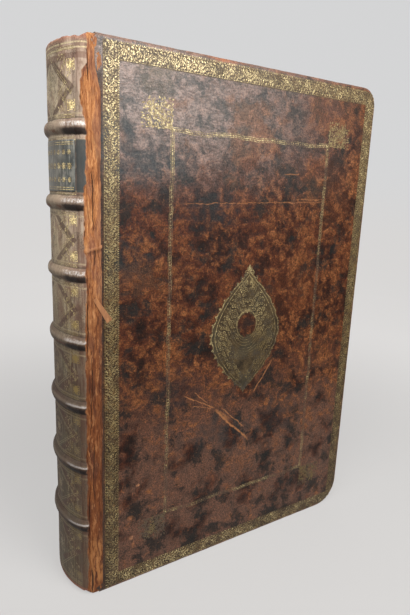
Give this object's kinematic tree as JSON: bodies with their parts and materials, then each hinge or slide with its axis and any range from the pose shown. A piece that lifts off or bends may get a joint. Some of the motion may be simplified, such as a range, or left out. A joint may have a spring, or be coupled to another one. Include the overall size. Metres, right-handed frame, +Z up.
{
  "type": "antique leather book",
  "caption": "Large old book in worn mottled leather, with raised bands, gilt roll border, inner frame and centrepiece; both covers open.",
  "frame": {"origin": "under the middle of the closed book, on the surface that its covers stand on", "axes": "+Z up from tail to head, +X from the spine to the fore-edge, -Y out of the front cover"},
  "size_m": [0.2982, 0.071, 0.43],
  "materials": {
    "mottled_calf": "mottled and worn, soft sheen",
    "spine_calf": "faded and dusty, rubbed on the bands",
    "raw_leather": "torn and fibrous, matt",
    "label_leather": "dark, rubbed",
    "gold_leaf": "worn gold leaf in blind impressions",
    "leaves": "aged rag paper",
    "lining_paper": "plain paper",
    "marbled_paper": "marbled paper, satin",
    "pasteboard": "grey-brown pasteboard",
    "hemp_cord": "twisted hemp",
    "silk_thread": "faded silk"
  },
  "bodies": {
    "book_block": {"text_block": "leaves", "sewing_cord_1": "hemp_cord", "sewing_cord_2": "hemp_cord", "sewing_cord_3": "hemp_cord", "sewing_cord_4": "hemp_cord", "sewing_cord_5": "hemp_cord", "sewing_cord_6": "hemp_cord", "sewing_cord_7": "hemp_cord", "spine_linings": "lining_paper", "head_endband": "silk_thread", "tail_endband": "silk_thread", "spine_leather": "spine_calf", "title_label": "label_leather", "spine_tooling": "gold_leaf", "front_flyleaf": "marbled_paper", "back_flyleaf": "marbled_paper", "front_joint_leather": "raw_leather", "back_joint_leather": "raw_leather"},
    "front_cover": {"front_board": "pasteboard", "front_cord_slips": "hemp_cord", "front_cover_leather": "mottled_calf", "front_pastedown": "marbled_paper", "front_border_roll": "gold_leaf", "front_inner_frame": "gold_leaf", "front_corner_fleurons": "gold_leaf", "front_centrepiece": "gold_leaf"},
    "back_cover": {"back_board": "pasteboard", "back_cord_slips": "hemp_cord", "back_cover_leather": "mottled_calf", "back_pastedown": "marbled_paper", "back_border_roll": "gold_leaf", "back_inner_frame": "gold_leaf", "back_corner_fleurons": "gold_leaf", "back_centrepiece": "gold_leaf"}
  },
  "joints": [
    {"name": "front_joint", "type": "hinge", "parent": "book_block", "child": "front_cover", "pos_m": [-0.12985, -0.0355, 0.215], "axis": [0, 0, -1], "range_deg": [0, 180], "deforming": ["front_joint_leather"]},
    {"name": "back_joint", "type": "hinge", "parent": "book_block", "child": "back_cover", "pos_m": [-0.12985, 0.0355, 0.215], "axis": [0, 0, 1], "range_deg": [0, 180], "deforming": ["back_joint_leather"]}
  ]
}
